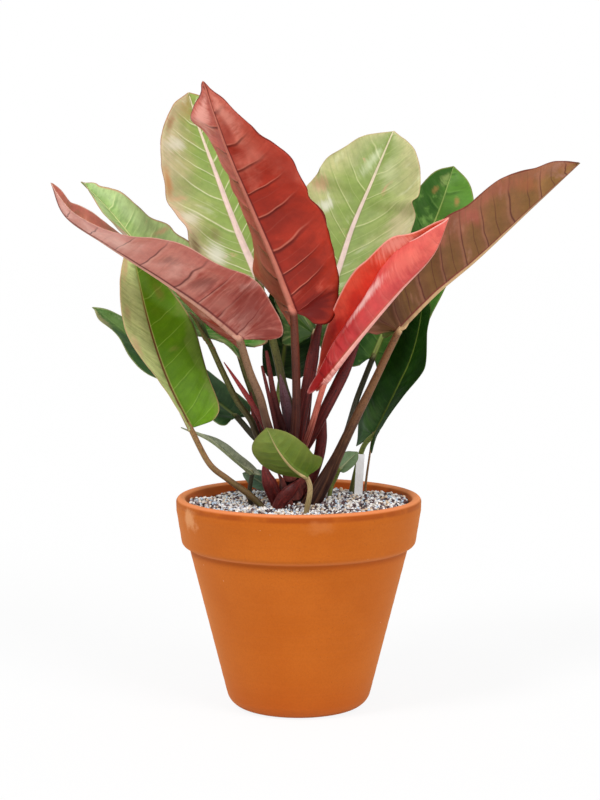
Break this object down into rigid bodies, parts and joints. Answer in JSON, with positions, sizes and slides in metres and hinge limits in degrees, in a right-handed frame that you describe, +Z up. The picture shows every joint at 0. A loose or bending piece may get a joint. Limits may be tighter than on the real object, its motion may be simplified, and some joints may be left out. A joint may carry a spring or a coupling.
{
  "type": "potted philodendron plant",
  "caption": "Aroid house plant with broad red, copper and green leaves on long stalks, standing in a collared terracotta pot with a grit top layer.",
  "frame": {"origin": "middle of the pot's foot, on the surface that the pot stands on", "axes": "+Z up along the pot's axis, +X to the right and +Y away from the viewer of the picture"},
  "size_m": [0.661, 0.4351, 0.8302],
  "materials": {
    "terracotta": "fired unglazed clay, matte",
    "potting_mix": "loose bark and peat, matte",
    "grit": "small white, cream and grey granules",
    "stem_skin": "brown skin with leaf scars",
    "brown_petiole": "satin, finely speckled",
    "green_petiole": "satin",
    "pink_petiole": "satin",
    "maroon_sheath": "satin, dry at the edges",
    "mauve_sheath": "dry, matte",
    "dry_stalk": "dry, matte",
    "label_plastic": "smooth",
    "red_leaf": "satin leaf underside with raised veins",
    "copper_leaf": "satin leaf underside with raised veins",
    "pale_leaf": "satin leaf",
    "green_leaf": "satin leaf",
    "new_leaf": "glossy young leaf",
    "brown_leaf": "satin leaf underside with raised veins",
    "dark_leaf": "satin leaf"
  },
  "bodies": {
    "root": {"pot": "terracotta", "potting_mix": "potting_mix", "grit_layer": "grit", "stem": "stem_skin", "leaf_tall_red_petiole": "brown_petiole", "leaf_left_copper_petiole": "brown_petiole", "leaf_back_left_pale_petiole": "green_petiole", "leaf_back_right_pale_petiole": "maroon_sheath", "leaf_far_right_green_petiole": "green_petiole", "leaf_new_red_petiole": "pink_petiole", "leaf_right_brown_petiole": "brown_petiole", "leaf_right_dark_petiole": "green_petiole", "leaf_left_green_petiole": "green_petiole", "leaf_left_upper_green_petiole": "green_petiole", "leaf_left_edge_on_petiole": "green_petiole", "leaf_left_low_dark_petiole": "brown_petiole", "leaf_front_small_petiole": "green_petiole", "leaf_low_left_narrow_petiole": "brown_petiole", "leaf_low_back_left_petiole": "green_petiole", "leaf_low_right_petiole": "green_petiole", "leaf_back_centre_dark_petiole": "green_petiole", "sheath_tall": "maroon_sheath", "sheath_right": "maroon_sheath", "sheath_upright": "maroon_sheath", "sheath_twin_high": "maroon_sheath", "sheath_twin_low": "maroon_sheath", "sheath_mauve": "mauve_sheath", "sheath_thin_red": "maroon_sheath", "sheath_left": "maroon_sheath", "sheath_low_left": "maroon_sheath", "sheath_low_middle": "maroon_sheath", "dry_stalk": "dry_stalk", "plant_label": "label_plastic", "leaf_tall_red_blade": "red_leaf", "leaf_left_copper_blade": "copper_leaf", "leaf_back_left_pale_blade": "pale_leaf", "leaf_back_right_pale_blade": "pale_leaf", "leaf_far_right_green_blade": "green_leaf", "leaf_new_red_blade": "new_leaf", "leaf_right_brown_blade": "brown_leaf", "leaf_right_dark_blade": "dark_leaf", "leaf_left_green_blade": "green_leaf", "leaf_left_upper_green_blade": "green_leaf", "leaf_left_edge_on_blade": "dark_leaf", "leaf_left_low_dark_blade": "dark_leaf", "leaf_front_small_blade": "green_leaf", "leaf_low_left_narrow_blade": "dark_leaf", "leaf_low_back_left_blade": "green_leaf", "leaf_low_right_blade": "green_leaf", "leaf_back_centre_dark_blade": "dark_leaf"}
  },
  "joints": []
}
